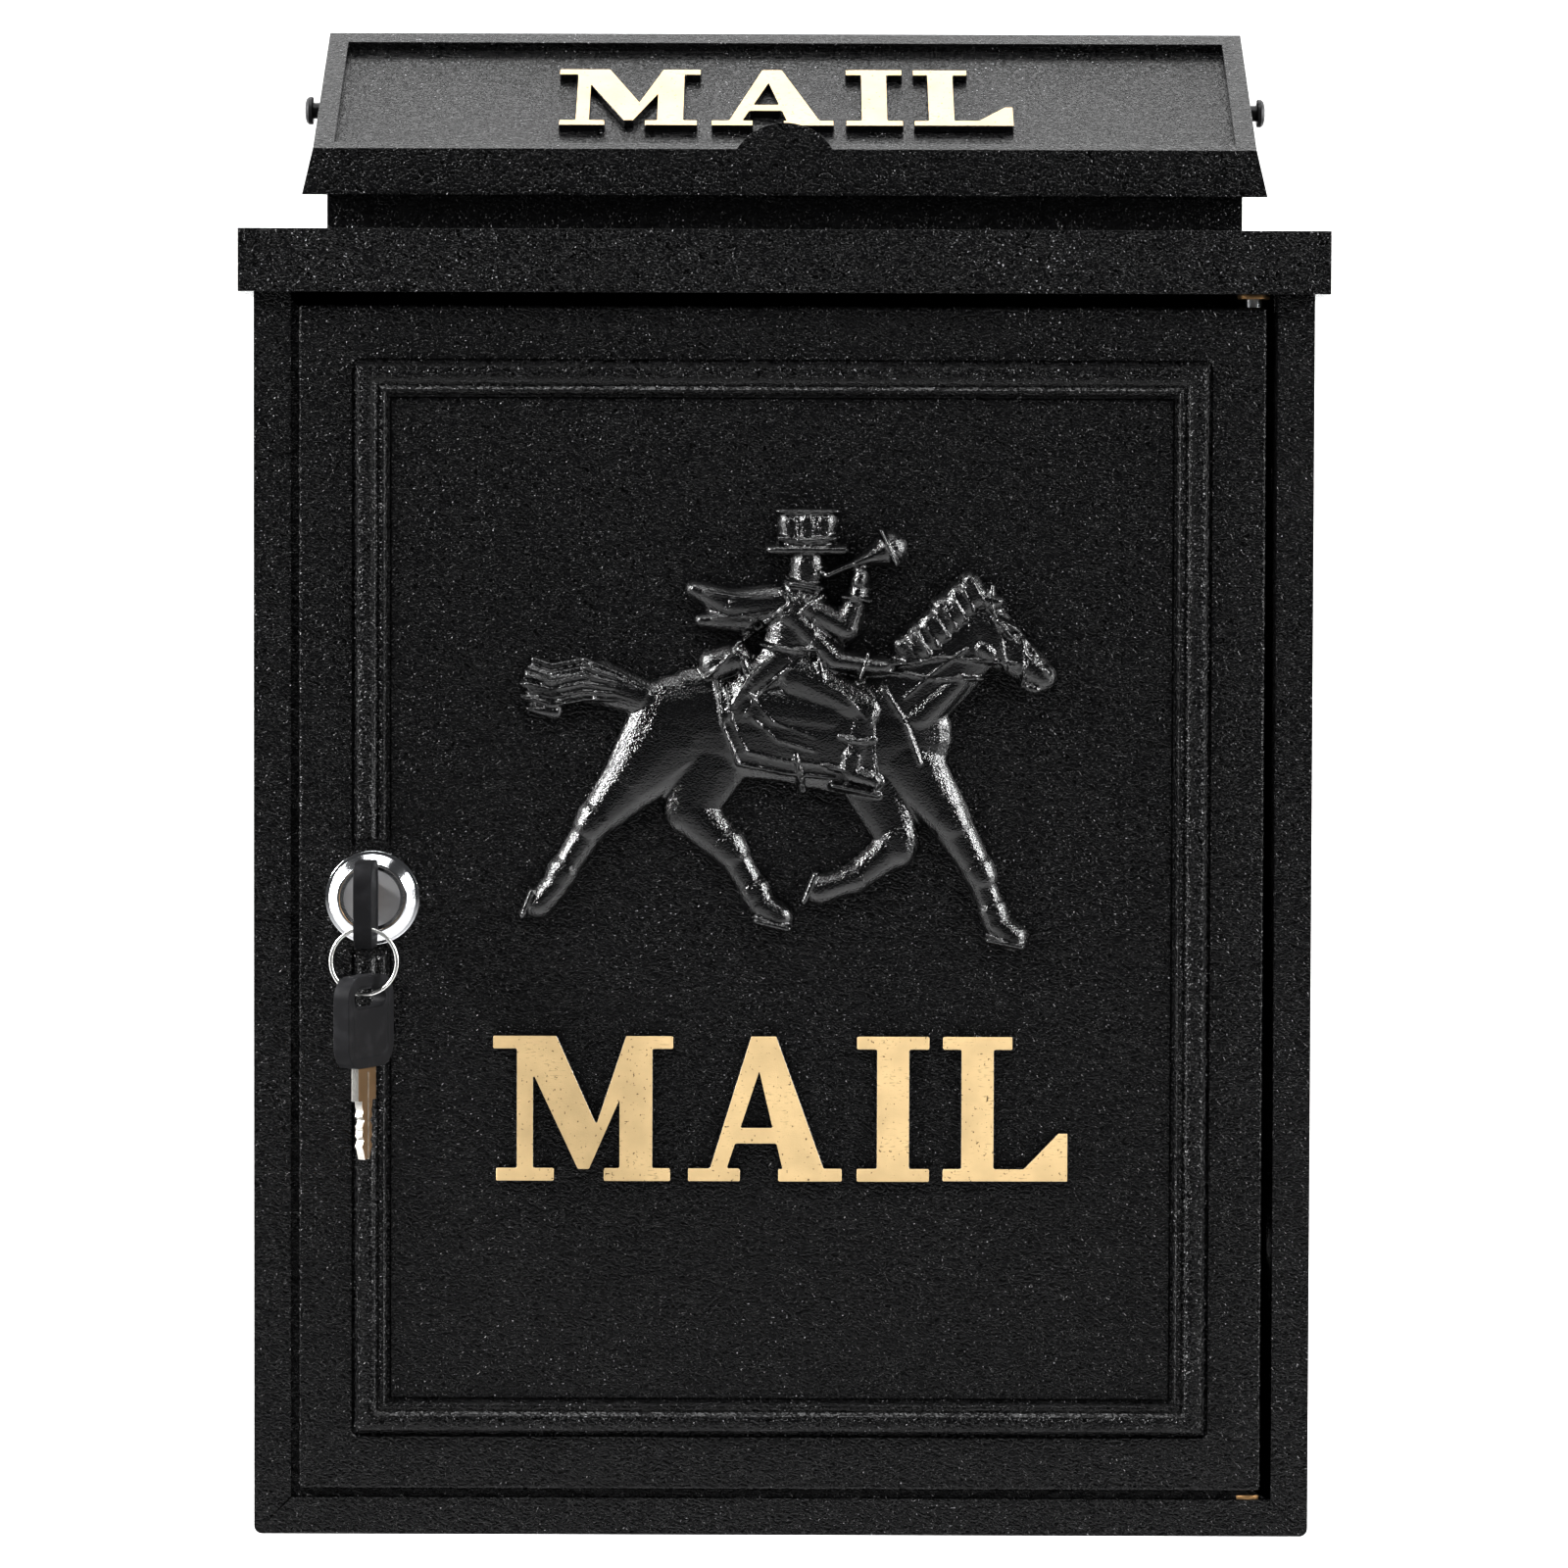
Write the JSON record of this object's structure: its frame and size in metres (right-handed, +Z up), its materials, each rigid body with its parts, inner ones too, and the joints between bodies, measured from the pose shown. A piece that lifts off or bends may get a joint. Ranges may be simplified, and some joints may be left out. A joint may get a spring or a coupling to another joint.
{
  "type": "wall mounted mailbox",
  "caption": "Wall mounted steel mailbox with a cast top, sloping hinged mail lid, lockable hinged door with raised relief and capitals, and keys on a ring.",
  "frame": {"origin": "centre of the four wall holes, on the plane of the wall", "axes": "+Z up, +Y into the wall, -Y out of the front of the box, +X to the right as seen from the front"},
  "size_m": [0.265, 0.1131, 0.3718],
  "materials": {
    "sheet_enamel": "black hammered enamel on sheet steel, semi-gloss",
    "cast_enamel": "black hammered enamel on cast aluminium, semi-gloss",
    "relief_enamel": "smooth gloss black enamel on cast aluminium",
    "gold_letters": "gold paint on the raised faces, satin",
    "plated_steel": "zinc plated, satin",
    "black_screw": "black oxide, satin",
    "sintered_bronze": "oiled sintered bronze, matte",
    "lock_chrome": "bright chrome plate",
    "wafer_brass": "stamped brass, satin",
    "key_nickel": "nickel plated, bright edges",
    "key_plastic": "black moulded plastic, satin",
    "ring_nickel": "nickel plated spring wire"
  },
  "bodies": {
    "housing": {"body_shell": "sheet_enamel", "rear_panel": "sheet_enamel", "header_rail": "sheet_enamel", "top_casting": "cast_enamel", "casting_screws": "plated_steel", "lower_hinge_bush": "sintered_bronze", "upper_hinge_bush": "sintered_bronze", "door_stops": "sheet_enamel", "lid_pivot_screw_left": "black_screw", "lid_pivot_screw_right": "black_screw", "lid_pivot_nuts": "plated_steel", "lid_pivot_washers": "plated_steel"},
    "lid": {"lid": "cast_enamel", "lid_letters": "gold_letters"},
    "door": {"door": "cast_enamel", "rider_relief": "relief_enamel", "door_letters": "gold_letters", "lower_hinge_pin": "plated_steel", "upper_hinge_pin": "plated_steel", "lock_body": "lock_chrome", "lock_washer": "plated_steel", "lock_nut": "plated_steel"},
    "lock_core": {"lock_plug": "lock_chrome", "lock_wafers": "wafer_brass", "lock_cam": "plated_steel", "cam_washer": "plated_steel", "cam_screw": "plated_steel"},
    "key": {"key_blade": "key_nickel", "key_head": "key_plastic"},
    "key_ring": {"key_ring": "ring_nickel"},
    "spare_key": {"spare_key_blade": "key_nickel", "spare_key_head": "key_plastic"}
  },
  "joints": [
    {"name": "door_hinge", "type": "hinge", "parent": "housing", "child": "door", "pos_m": [0.1144, -0.072, 0], "axis": [0, 0, 1], "range_deg": [0, 105]},
    {"name": "lid_hinge", "type": "hinge", "parent": "housing", "child": "lid", "pos_m": [0, -0.029, 0.19103], "axis": [-1, 0, 0], "range_deg": [0, 80]},
    {"name": "lock_turn", "type": "hinge", "parent": "door", "child": "lock_core", "pos_m": [-0.1, -0.076, -0.0038], "axis": [0, 1, 0], "range_deg": [0, 90]},
    {"name": "key_pull", "type": "slide", "parent": "lock_core", "child": "key", "axis": [0, -1, 0], "range_m": [0, 0.023]},
    {"name": "ring_swing", "type": "hinge", "parent": "key", "child": "key_ring", "pos_m": [-0.1, -0.10335, -0.0125], "axis": [0, 1, 0], "range_deg": [-90, 0]},
    {"name": "spare_key_swing", "type": "hinge", "parent": "key_ring", "child": "spare_key", "pos_m": [-0.1, -0.10335, -0.02509], "axis": [-1, 0, 0], "range_deg": [-15, 40]}
  ],
  "couplings": [
    {"joint": "ring_swing", "follows": "lock_turn", "ratio": -1}
  ]
}
